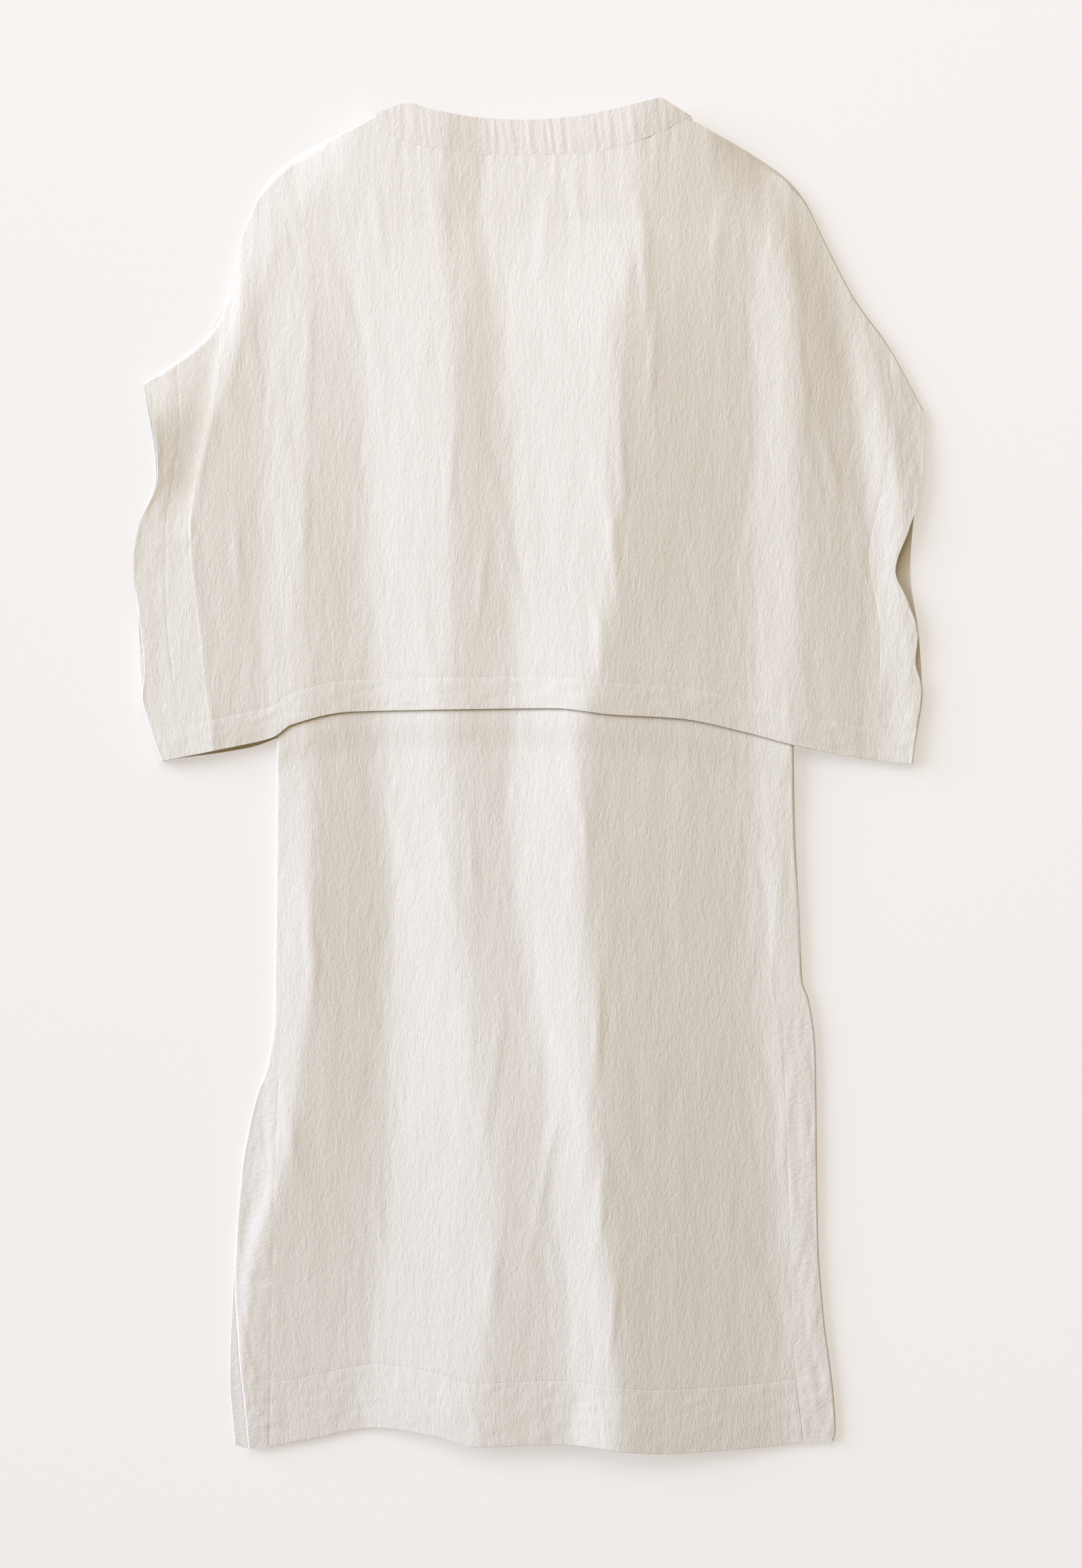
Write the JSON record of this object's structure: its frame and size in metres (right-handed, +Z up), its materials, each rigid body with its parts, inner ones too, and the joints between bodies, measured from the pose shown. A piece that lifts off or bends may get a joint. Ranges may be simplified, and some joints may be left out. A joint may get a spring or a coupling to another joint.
{
  "type": "tunic top",
  "caption": "Loose crinkled linen tunic laid face down: a wide cape layer with open sleeves over a longer straight body with side slits, deep hems and a gathered neck band.",
  "frame": {"origin": "on the surface the garment lies on, at the middle of its length and width", "axes": "+Z up from the surface, +Y along the garment towards its neck, +X to the right seen from above with the neck up"},
  "size_m": [0.6288, 1.0755, 0.0338],
  "materials": {
    "linen": "washed crinkled off-white linen, matt",
    "neck_band": "the same linen, gathered into fine puckers, matt",
    "slit_facing": "the same linen, two layers stitched flat, matt"
  },
  "bodies": {
    "root": {"back_cape": "linen", "back_cape_hem": "linen", "back_sleeve_hem_left": "linen", "back_sleeve_hem_right": "linen", "back_neck_band": "neck_band", "back_body": "linen", "back_body_hem": "linen", "back_slit_facing_left": "slit_facing", "back_slit_facing_right": "slit_facing", "front_cape": "linen", "front_cape_hem": "linen", "front_sleeve_hem_left": "linen", "front_sleeve_hem_right": "linen", "front_neck_band": "neck_band", "front_body": "linen", "front_body_hem": "linen", "front_slit_facing_left": "slit_facing", "front_slit_facing_right": "slit_facing"}
  },
  "joints": []
}
